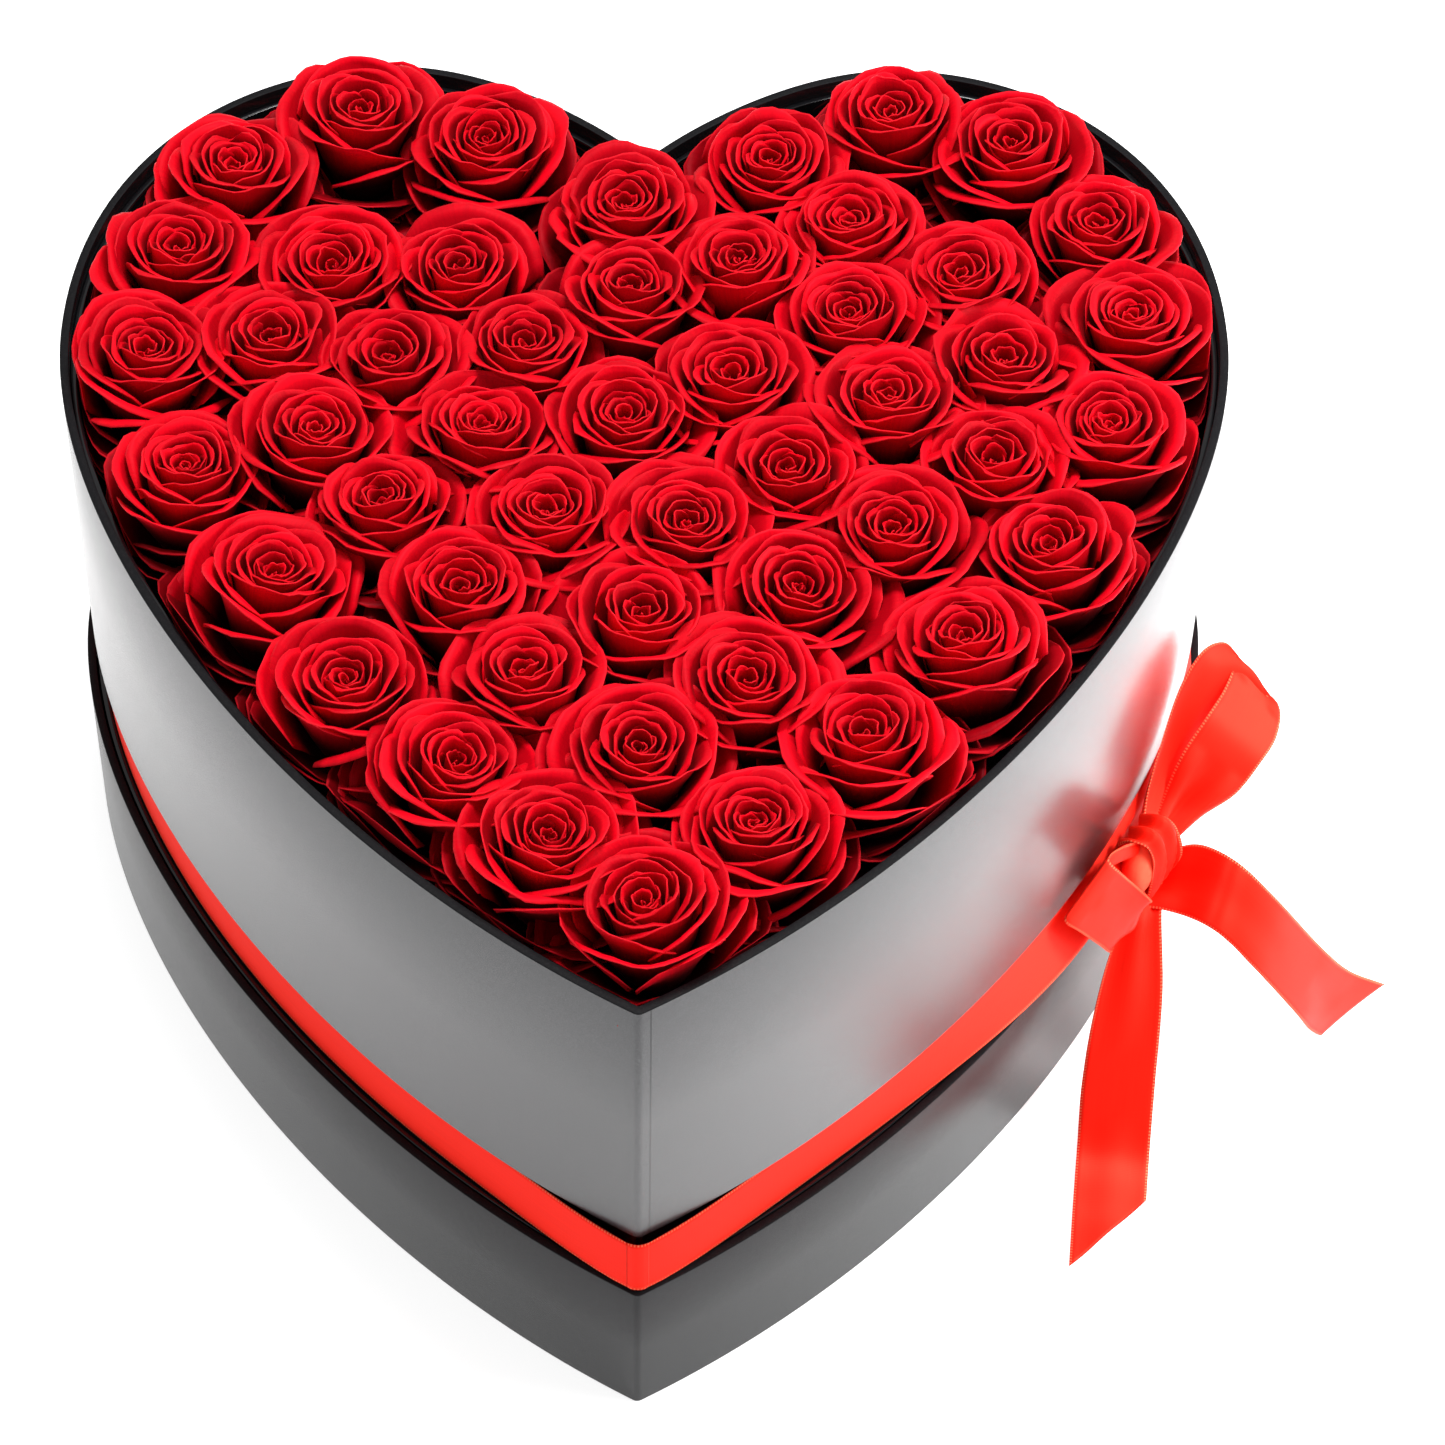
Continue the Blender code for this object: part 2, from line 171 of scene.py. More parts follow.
# ---- Tray ----
# A shallow heart-shaped tray of 3 mm board, which the flower box stands in with a slip fit. It is wrapped in
# pearly paper like the upper wall's, coloured nearly black as painted shade for the shadowed table its sides
# reflect. The paper's joint shows as a thin dark line beside the heart's point.

HEART_WIDTH = 0.390
HEART_LENGTH = 0.416
WIDEST_Y = 0.077            # the line across the heart's widest place
LOBE_TOP_X = 0.0875
NOTCH_Y = 0.161
TIP_SLOPE = math.radians(30.0)
NOTCH_SLOPE = math.radians(49.0)
TIP_REACH = 0.1316          # how far each bend of the outline keeps its direction
SIDE_REACH = 0.0897
SHOULDER_REACH = 0.0849
LOBE_REACH = 0.0541
BROW_REACH = 0.0348
NOTCH_REACH = 0.0223

BOARD = 0.003
FIT_GAP = 0.0006
ARRIS = 0.0004              # rounding of the folded paper edges
POINT_REACH = 0.002         # the heart's point is rounded over this length each side
TRAY_SEAM = -0.0045         # along the outline from the heart's point
SEAM_HALF_WIDTH = 0.00028
FOLD_REACH = 0.0018         # each wall's own corner at the point, and the least it narrows to inside
FOLD_REACH_LEAST = 0.0003


def heart_outline(side=72, shoulder=40, lobe=32):
    """The closed heart, anticlockwise from its point."""
    tip = Vector((0.0, -HEART_LENGTH / 2))
    wide = Vector((HEART_WIDTH / 2, WIDEST_Y))
    top = Vector((LOBE_TOP_X, HEART_LENGTH / 2))
    notch = Vector((0.0, NOTCH_Y))
    leave_tip = Vector((math.cos(TIP_SLOPE), math.sin(TIP_SLOPE))) * TIP_REACH
    reach_notch = Vector((math.cos(NOTCH_SLOPE), math.sin(NOTCH_SLOPE))) * NOTCH_REACH
    bends = (
        (tip, tip + leave_tip, wide - Vector((0, SIDE_REACH)), wide, side),
        (wide, wide + Vector((0, SHOULDER_REACH)), top + Vector((LOBE_REACH, 0)), top, shoulder),
        (top, top - Vector((BROW_REACH, 0)), notch + reach_notch, notch, lobe),
    )
    right = []
    for start, leaving, arriving, end, count in bends:
        bend = interpolate_bezier(start.to_3d(), leaving.to_3d(), arriving.to_3d(), end.to_3d(), count + 1)
        right += [point.xy for point in bend[:-1]]
    left = [Vector((-point.x, point.y)) for point in reversed(right[1:])]
    return np.array([tuple(point) for point in right + [notch] + left])


def inward_normals(line):
    """Unit normals of a closed anticlockwise line's edges, pointing in."""
    edges = np.roll(line, -1, axis=0) - line
    normals = np.stack([-edges[:, 1], edges[:, 0]], axis=1)
    return normals / np.linalg.norm(normals, axis=1)[:, None]


def inset_line(line, distance):
    """The line with every edge moved in by a distance, or out if it is negative."""
    after = inward_normals(line)
    middle = np.roll(after, 1, axis=0) + after
    middle /= np.linalg.norm(middle, axis=1)[:, None]
    return line + middle * (distance / np.sum(middle * after, axis=1))[:, None]


def rounded_point(line, reach, steps=6):
    """The line with its first corner, the heart's point, replaced by a short curve."""
    corner, after, before = line[0], line[1] - line[0], line[-1] - line[0]
    start = corner + before / np.linalg.norm(before[:2]) * reach
    end = corner + after / np.linalg.norm(after[:2]) * reach
    shares = np.linspace(0.0, 1.0, steps + 1)[:, None]
    bend = start * (1 - shares) ** 2 + corner * 2 * shares * (1 - shares) + end * shares ** 2
    middle = steps // 2
    return np.vstack([bend[middle:], line[1:], bend[:middle]])


def along_line(line):
    """Distance of each point of a closed line from its first, and at the end its whole length."""
    loop = np.vstack([line, line[:1]])
    return np.concatenate([[0.0], np.cumsum(np.linalg.norm(np.diff(loop, axis=0), axis=1))])


def board_profile(outer, inner, low, high, arris=ARRIS):
    """Corners (inset, height, face number) of a board wall: up its outside, over the rim, down its inside."""
    middle = (outer + inner) / 2
    slant = arris * 0.3
    return (
        (outer, low + arris, 0), (outer, (low + high) / 2, 0), (outer, high - arris, 1),
        (outer + slant, high - slant, 1), (outer + arris, high, 1), (middle, high, 1),
        (inner - arris, high, 1), (inner - slant, high - slant, 2), (inner, high - arris, 2),
        (inner, low + arris, 2), (inner - arris, low, 3), (outer + arris, low, 3),
    )


def heart_wall(name, profile, looks, body, nodes):
    """A closed wall round the heart: its profile carried along the outline, with a map in metres."""
    lengths = along_line(rounded_point(outline, POINT_REACH))
    steps = [math.dist(a[:2], b[:2]) for a, b in zip(profile, profile[1:] + profile[:1])]
    heights = np.concatenate([[0.0], np.cumsum(steps)])
    wall = bmesh.new()
    uv = wall.loops.layers.uv.new("wrap")
    rings = []
    for inset, height, face in profile:
        point_reach = max(FOLD_REACH - 0.5 * (inset - profile[0][0]), FOLD_REACH_LEAST)
        line = rounded_point(inset_line(outline, inset), point_reach)
        rings.append([wall.verts.new((x, y, height)) for x, y in line])
    count = len(rings[0])
    for level, (ring, following) in enumerate(zip(rings, rings[1:] + rings[:1])):
        for place in range(count):
            after = (place + 1) % count
            quad = wall.faces.new((ring[place], ring[after], following[after], following[place]))
            quad.material_index = profile[level][2]
            quad.smooth = True
            corners = ((place, level), (place + 1, level), (place + 1, level + 1), (place, level + 1))
            for loop, (step, row) in zip(quad.loops, corners):
                loop[uv].uv = (lengths[step], heights[row])
    return finished_piece(name, wall, looks, body, nodes)


def finished_piece(name, shape, looks, body, nodes, sharp=35.0):
    """Makes a mesh piece, rides it on its body and lets it stand for its CAD nodes."""
    mesh = bpy.data.meshes.new(name)
    shape.to_mesh(mesh)
    shape.free()
    mesh.set_sharp_from_angle(angle=math.radians(sharp))
    for look in looks:
        mesh.materials.append(look)
    piece = bpy.data.objects.new(name, mesh)
    bpy.context.scene.collection.objects.link(piece)
    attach(piece, body)
    if nodes:
        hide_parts(*nodes)
    return piece


def fine_grain_group():
    """Paper and board grain: a height for bump and a mask of lighter flecks."""
    group = bpy.data.node_groups.new("fine_grain", "ShaderNodeTree")
    group.interface.new_socket("Vector", in_out="INPUT", socket_type="NodeSocketVector")
    group.interface.new_socket("Grains Per Metre", in_out="INPUT", socket_type="NodeSocketFloat")
    group.interface.new_socket("Height", in_out="OUTPUT", socket_type="NodeSocketFloat")
    group.interface.new_socket("Fleck", in_out="OUTPUT", socket_type="NodeSocketFloat")
    source = made_node(group, "NodeGroupInput")
    result = made_node(group, "NodeGroupOutput")
    grain = made_node(group, "ShaderNodeTexNoise")
    grain.inputs["Detail"].default_value = 3.0
    grain.inputs["Roughness"].default_value = 0.7
    coarse = made_node(group, "ShaderNodeMath", operation="MULTIPLY")
    coarse.inputs[1].default_value = 0.12
    cloud = made_node(group, "ShaderNodeTexNoise")
    cloud.inputs["Detail"].default_value = 2.0
    both = made_node(group, "ShaderNodeMath", operation="MULTIPLY_ADD")
    both.inputs[1].default_value = 0.35
    fleck = made_node(group, "ShaderNodeMapRange")
    fleck.inputs["From Min"].default_value = 0.50
    fleck.inputs["From Max"].default_value = 0.72
    group.links.new(source.outputs["Vector"], grain.inputs["Vector"])
    group.links.new(source.outputs["Vector"], cloud.inputs["Vector"])
    group.links.new(source.outputs["Grains Per Metre"], grain.inputs["Scale"])
    group.links.new(source.outputs["Grains Per Metre"], coarse.inputs[0])
    group.links.new(coarse.outputs[0], cloud.inputs["Scale"])
    group.links.new(cloud.outputs["Fac"], both.inputs[0])
    group.links.new(grain.outputs["Fac"], both.inputs[2])
    group.links.new(grain.outputs["Fac"], fleck.inputs["Value"])
    group.links.new(both.outputs[0], result.inputs["Height"])
    group.links.new(fleck.outputs["Result"], result.inputs["Fleck"])
    return group


fine_grain = fine_grain_group()


def grain_on(tree, shader, grains, relief, coordinates="Object"):
    """Places the fine grain in a material: its bump on the shader, and its fleck mask returned."""
    place = made_node(tree, "ShaderNodeTexCoord")
    grain = made_node(tree, "ShaderNodeGroup", node_tree=fine_grain)
    grain.inputs["Grains Per Metre"].default_value = grains
    bump = made_node(tree, "ShaderNodeBump")
    bump.inputs["Strength"].default_value = relief
    bump.inputs["Distance"].default_value = 0.0002
    tree.links.new(place.outputs[coordinates], grain.inputs["Vector"])
    tree.links.new(grain.outputs["Height"], bump.inputs["Height"])
    tree.links.new(bump.outputs["Normal"], shader.inputs["Normal"])
    return grain.outputs["Fleck"]


def pearly_paper(name, dark, light, roughness, gloss, seam_at):
    """Pearly grey wrapping paper: fine bright flecks, a soft metallic sheen and one thin dark joint."""
    look, tree, shader = new_look(name, light, roughness, 0.72)
    shader.inputs["Coat Weight"].default_value = gloss
    shader.inputs["Coat Roughness"].default_value = 0.22
    shade = two_tone(tree, grain_on(tree, shader, 2600.0, 0.55), dark, light)
    around = made_node(tree, "ShaderNodeUVMap", uv_map="wrap")
    split = made_node(tree, "ShaderNodeSeparateXYZ")
    beside = made_node(tree, "ShaderNodeMath", operation="COMPARE")
    beside.inputs[1].default_value = seam_at
    beside.inputs[2].default_value = SEAM_HALF_WIDTH
    joint = made_node(tree, "ShaderNodeMix", data_type="RGBA")
    joint.inputs["B"].default_value = (0.006, 0.006, 0.007, 1.0)
    tree.links.new(around.outputs["UV"], split.inputs["Vector"])
    tree.links.new(split.outputs["X"], beside.inputs[0])
    tree.links.new(beside.outputs[0], joint.inputs["Factor"])
    tree.links.new(shade, joint.inputs["A"])
    tree.links.new(joint.outputs["Result"], shader.inputs["Base Color"])
    return look


def dark_board(name, dark, light, roughness, relief):
    """Black-dyed board or liner card with a faint fibre."""
    look, tree, shader = new_look(name, dark, roughness)
    shade = two_tone(tree, grain_on(tree, shader, 1500.0, relief), dark, light)
    tree.links.new(shade, shader.inputs["Base Color"])
    return look


outline = heart_outline()
perimeter = along_line(rounded_point(outline, POINT_REACH))[-1]
tray_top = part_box("tray_wall")[1].z
# The tray's paper is coloured nearly black: painted shade for the shadowed table that its sides reflect.
tray_paper = pearly_paper(
    "tray_paper", (0.005, 0.005, 0.006), (0.022, 0.022, 0.024), 0.30, 0.15, perimeter + TRAY_SEAM)
rim_board = dark_board("rim_board", (0.004, 0.004, 0.005), (0.012, 0.012, 0.013), 0.60, 0.2)
rim_board.node_tree.nodes["Principled BSDF"].inputs["Specular IOR Level"].default_value = 0.1
black_card = dark_board("black_card", (0.006, 0.006, 0.007), (0.014, 0.014, 0.015), 0.22, 0.08)

heart_wall(
    "tray_side", board_profile(-FIT_GAP - BOARD, -FIT_GAP, 0.0, tray_top),
    (tray_paper, rim_board, black_card, tray_paper), "tray", ("tray_wall",),
)
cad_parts["tray_floor"].data.materials.clear()
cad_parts["tray_floor"].data.materials.append(tray_paper)


# ---- Flower box: lower wall, floor and neck liner ----
# The box that holds the roses. Its lower wall of black board stands inside the tray and ends
# level with the tray's rim; a thinner glossy black liner glued inside it carries on upwards as
# the neck, and holds the upper wall above the ribbon's groove.

GLUE_GAP = 0.0003
LINER_BOARD = 0.002
LINER_ARRIS = 0.0003
lower_low, lower_high = (corner.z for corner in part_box("lower_wall"))
liner_low, liner_high = (corner.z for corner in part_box("neck_liner"))
liner_outer = BOARD + GLUE_GAP

gloss_card = dark_board("gloss_card", (0.004, 0.004, 0.005), (0.008, 0.008, 0.009), 0.10, 0.02)
heart_wall(
    "lower_side", board_profile(0.0, BOARD, lower_low, lower_high),
    (black_card, gloss_card, black_card, black_card), "box", ("lower_wall",),
)
heart_wall(
    "liner", board_profile(liner_outer, liner_outer + LINER_BOARD, liner_low, liner_high, LINER_ARRIS),
    (gloss_card, gloss_card, gloss_card, black_card), "box", ("neck_liner",),
)
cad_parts["box_floor"].data.materials.clear()
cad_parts["box_floor"].data.materials.append(black_card)


# ---- Flower box: upper wall ----
# The tall wall above the groove: 3 mm board in pearly paper, trimmed flush at the rim, where the dark board
# shows; the tray's paper is the same, darkened with painted shade. Its paper joint is just beside the heart's
# point.

UPPER_SEAM = 0.0042
upper_low, upper_high = (corner.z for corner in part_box("upper_wall"))

wall_paper = pearly_paper("wall_paper", (0.038, 0.038, 0.040), (0.100, 0.100, 0.104), 0.24, 0.60, UPPER_SEAM)
heart_wall(
    "upper_side", board_profile(0.0, BOARD, upper_low, upper_high),
    (wall_paper, rim_board, black_card, black_card), "box", ("upper_wall",),
)


# ---- Flower foam ----
# A heart of dry florist's foam, cut to the liner and packed into the box. The picks of the
# roses are pushed into its top.

FOAM_INSET = liner_outer + LINER_BOARD + GLUE_GAP
FOAM_ARRIS = 0.002
CRUMBLING = 0.0006
foam_low, foam_high = (corner.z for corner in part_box("flower_foam"))

foam_look, tree, shader = new_look("dry_foam", (0.012, 0.016, 0.012), 0.95)
place = made_node(tree, "ShaderNodeTexCoord")
cells = made_node(tree, "ShaderNodeTexVoronoi")
cells.inputs["Scale"].default_value = 900.0
pores = made_node(tree, "ShaderNodeBump")
pores.inputs["Distance"].default_value = 0.0005
tree.links.new(place.outputs["Object"], cells.inputs["Vector"])
tree.links.new(cells.outputs["Distance"], pores.inputs["Height"])
tree.links.new(pores.outputs["Normal"], shader.inputs["Normal"])
shade = two_tone(tree, cells.outputs["Distance"], (0.006, 0.008, 0.006), (0.020, 0.026, 0.020))
tree.links.new(shade, shader.inputs["Base Color"])

foam = bmesh.new()
foam_line = inset_line(outline, FOAM_INSET)
crumbs = random.Random(5)
shelves = []
for share, height in (
    (1.0, foam_low), (1.0, foam_high - FOAM_ARRIS), (0.992, foam_high), (0.7, foam_high), (0.35, foam_high),
):
    ring = []
    for x, y in foam_line * share:
        settle = crumbs.uniform(-CRUMBLING, 0.0) if height == foam_high else 0.0
        ring.append(foam.verts.new((x, y, height + settle)))
    shelves.append(ring)
for ring, following in zip(shelves, shelves[1:]):
    for place in range(len(ring)):
        after = (place + 1) % len(ring)
        foam.faces.new((ring[place], ring[after], following[after], following[place]))
foam.faces.new(shelves[-1])
foam.faces.new(reversed(shelves[0]))
finished_piece("foam", foam, (foam_look,), "box", ("flower_foam",))


# ---- Roses ----
# Fifty preserved rose heads on short plastic picks. Each head is a spiral of petals: a tight
# rolled middle, cupped petals round it with their lips turned out, and lower guard petals that
# fill the room to the neighbours and the liner. One tree makes them all, each from its own seed.

GOLDEN_TURN = math.radians(137.508)
HEAD_RADIUS = 0.0245
PETAL_THICKNESS = 0.00045
PRESS_ROOM = 0.005          # petals closer to the liner than this are pressed flatter against it
PRESS_FADE = 0.010
PRESS_ABOVE_RIM = 0.016     # and above this height over the rim they are free
NEAR_WALL = 0.045
PIVOT_DEPTH = 0.040         # heads lean about a point this far below their face
PRESS_BLOCK = 4000          # points pressed at a time


class Field:
    """A value that varies over the petals, so that sums can be written as sums."""

    def __init__(self, tree, socket):
        self.tree = tree
        self.socket = socket

    def sum_with(self, operation, *others):
        node = made_node(self.tree, "ShaderNodeMath", operation=operation)
        for slot, value in zip(node.inputs, (self, *others)):
            if isinstance(value, Field):
                self.tree.links.new(value.socket, slot)
            else:
                slot.default_value = value
        return Field(self.tree, node.outputs[0])

    def __add__(self, other):
        return self.sum_with("ADD", other)

    def __sub__(self, other):
        return self.sum_with("SUBTRACT", other)

    def __mul__(self, other):
        return self.sum_with("MULTIPLY", other)

    def __truediv__(self, other):
        return self.sum_with("DIVIDE", other)

    def __pow__(self, other):
        return self.sum_with("POWER", other)

    def __neg__(self):
        return self * -1.0

    def at_most(self, other):
        return self.sum_with("MINIMUM", other)

    def at_least(self, other):
        return self.sum_with("MAXIMUM", other)

    def sine(self):
        return self.sum_with("SINE")

    def cosine(self):
        return self.sum_with("COSINE")

    def size(self):
        return self.sum_with("ABSOLUTE")


def rose_tree():
    """The rose head: a spiral of petal sheets, shaped by each petal's place in the spiral."""
    tree = bpy.data.node_groups.new("rose_head", "GeometryNodeTree")
    tree.is_modifier = True
    tree.interface.new_socket("Geometry", in_out="OUTPUT", socket_type="NodeSocketGeometry")
    for name, kind, value in (
        ("Petals", "NodeSocketInt", 24),
        ("Guard Petals", "NodeSocketInt", 9),
        ("Radius", "NodeSocketFloat", HEAD_RADIUS),
        ("Depth", "NodeSocketFloat", 0.045),
        ("Openness", "NodeSocketFloat", 0.5),
        ("Seed", "NodeSocketInt", 1),
        ("Petal Look", "NodeSocketMaterial", None),
    ):
        socket = tree.interface.new_socket(name, in_out="INPUT", socket_type=kind)
        if value is not None:
            socket.default_value = value
    source = made_node(tree, "NodeGroupInput")
    petals = Field(tree, source.outputs["Petals"])
    guards = Field(tree, source.outputs["Guard Petals"])
    radius = Field(tree, source.outputs["Radius"])
    depth = Field(tree, source.outputs["Depth"])
    openness = Field(tree, source.outputs["Openness"])
    seed = Field(tree, source.outputs["Seed"])

    def stored(shape, name, value, kind="FLOAT", domain="POINT"):
        node = made_node(tree, "GeometryNodeStoreNamedAttribute", data_type=kind, domain=domain)
        node.inputs["Name"].default_value = name
        tree.links.new(shape, node.inputs["Geometry"])
        tree.links.new(value, node.inputs["Value"])
        return node.outputs["Geometry"]

    def place_of(*parts):
        node = made_node(tree, "ShaderNodeCombineXYZ")
        for slot, part in zip(node.inputs, parts):
            tree.links.new(part.socket, slot)
        return node.outputs[0]

    # one flat petal sheet, instanced once for each petal with its number kept on it
    sheet = made_node(tree, "GeometryNodeMeshGrid")
    sheet.inputs["Size X"].default_value = 2.0
    sheet.inputs["Size Y"].default_value = 2.0
    sheet.inputs["Vertices X"].default_value = 15
    sheet.inputs["Vertices Y"].default_value = 14
    flat_place = made_node(tree, "GeometryNodeInputPosition")
    flat = made_node(tree, "ShaderNodeSeparateXYZ")
    tree.links.new(flat_place.outputs[0], flat.inputs[0])
    half_up = Field(tree, flat.outputs["Y"]) * 0.5 + 0.5
    mapped_sheet = stored(sheet.outputs["Mesh"], "across", flat.outputs["X"])
    mapped_sheet = stored(mapped_sheet, "up", half_up.socket)
    spiral = made_node(tree, "GeometryNodeMeshLine")
    tree.links.new((petals + guards).socket, spiral.inputs["Count"])
    spread = made_node(tree, "GeometryNodeInstanceOnPoints")
    tree.links.new(spiral.outputs["Mesh"], spread.inputs["Points"])
    tree.links.new(mapped_sheet, spread.inputs["Instance"])
    number = made_node(tree, "GeometryNodeInputIndex")
    numbered = stored(spread.outputs["Instances"], "petal", number.outputs[0], domain="INSTANCE")
    real = made_node(tree, "GeometryNodeRealizeInstances")
    tree.links.new(numbered, real.inputs["Geometry"])

    def kept(name):
        node = made_node(tree, "GeometryNodeInputNamedAttribute", data_type="FLOAT")
        node.inputs["Name"].default_value = name
        return Field(tree, node.outputs["Attribute"])

    def chance(low, high, offset):
        node = made_node(tree, "FunctionNodeRandomValue", data_type="FLOAT")
        node.inputs["Min"].default_value = low
        node.inputs["Max"].default_value = high
        tree.links.new(petal.socket, node.inputs["ID"])
        tree.links.new((seed * 17.0 + float(offset)).socket, node.inputs["Seed"])
        return Field(tree, [out for out in node.outputs if out.enabled][0])

    across, up, petal = kept("across"), kept("up"), kept("petal")
    share = (petal / (petals - 1.0)).at_most(1.0)
    guard = ((petal - petals + 1.0) / guards).at_least(0.0)
    is_guard = (guard * 100.0).at_most(1.0)
    from_middle = across.size()
    rise = up ** 0.55
    body = (rise / 0.80).at_most(1.0)
    lip = ((rise - 0.80) / 0.20).at_least(0.0)

    # how far round the head a petal reaches, and which way it faces
    wrap = -(share ** 0.45) * 1.70 + 2.80 + is_guard * 0.22
    spread_width = (body * 1.95).sine() * 0.42 + 0.58
    angle = petal * GOLDEN_TURN + chance(-0.30, 0.30, 1) + across * wrap * spread_width

    # the petal's cupped body, from the calyx to where its lip turns
    mid = radius * ((share ** 0.85) * 0.70 + 0.045 + guard * 0.24)
    foot = radius * (share * 0.15 + 0.03)
    cup = (body * (math.pi / 2)).sine() ** 0.8
    lean = (share ** 2.2) * (openness * 0.50 + chance(0.0, 0.16, 2)) - 0.02
    out = foot + (mid - foot) * cup + radius * lean * body ** 4.0
    crown = -(share * share) * 1.12 + share * 1.0 - 0.21 + chance(-0.045, 0.045, 3)
    crown = crown - is_guard * 0.30 - guard * 0.55 + is_guard * chance(-0.12, 0.12, 8)
    sides_fall = (from_middle ** 2.6) * (share * 0.30 + 0.10) * body
    height = (depth + radius * (crown - sides_fall)) * body - depth

    # the lip rolls outwards, most at its two sides, which leaves a soft point in the middle
    curl_size = radius * (share * 0.060 + 0.028)
    sides_roll = (from_middle * 2.6).sine() * 0.5 + 0.5
    curl = lip * (share * 1.7 + 0.45 + chance(-0.25, 0.45, 4)) * sides_roll
    out = out + curl_size * (-(curl.cosine()) + 1.0)
    height = height + curl_size * curl.sine()
    point = ((-from_middle + 1.0) ** 2.0) * rise ** 5.0
    out = out + radius * point * share * chance(0.02, 0.15, 5)
    height = height + radius * point * chance(0.00, 0.05, 6)

    # one side of each petal is tucked under the next, and every petal is a little uneven
    out = out + radius * across * 0.040
    spot = place_of(across * wrap * 0.55, rise * 0.9, petal * 3.7 + seed * 11.3)
    uneven = made_node(tree, "ShaderNodeTexNoise")
    uneven.inputs["Scale"].default_value = 1.9
    uneven.inputs["Detail"].default_value = 1.5
    tree.links.new(spot, uneven.inputs["Vector"])
    wobble = made_node(tree, "ShaderNodeSeparateXYZ")
    tree.links.new(uneven.outputs["Color"], wobble.inputs[0])
    free = rise ** 2.5
    out = out + radius * (Field(tree, wobble.outputs["X"]) - 0.5) * free * (share * 0.30 + 0.10)
    height = height + radius * (Field(tree, wobble.outputs["Y"]) - 0.5) * free * 0.26
    angle = angle + (Field(tree, wobble.outputs["Z"]) - 0.5) * free * 0.35

    shaped = made_node(tree, "GeometryNodeSetPosition")
    spot = place_of(out * angle.cosine(), out * angle.sine(), height)
    tree.links.new(real.outputs["Geometry"], shaped.inputs["Geometry"])
    tree.links.new(spot, shaped.inputs["Position"])

    # a map along and across each petal, and a random brightness of its own, lowered on the guard petals
    # as painted shade, the more the further out they sit
    mapped = stored(shaped.outputs["Geometry"], "petal_map", place_of(across, rise), "FLOAT2", "CORNER")
    brightness = (chance(0.55, 1.0, 7) - is_guard * 0.35 - guard * 0.55).at_least(0.0)
    toned = stored(mapped, "tone_and_shade", brightness.socket)

    smooth = made_node(tree, "GeometryNodeSetShadeSmooth")
    painted = made_node(tree, "GeometryNodeSetMaterial")
    result = made_node(tree, "NodeGroupOutput")
    tree.links.new(toned, smooth.inputs["Geometry"])
    tree.links.new(smooth.outputs["Geometry"], painted.inputs["Geometry"])
    tree.links.new(source.outputs["Petal Look"], painted.inputs["Material"])
    tree.links.new(painted.outputs["Geometry"], result.inputs["Geometry"])
    return tree


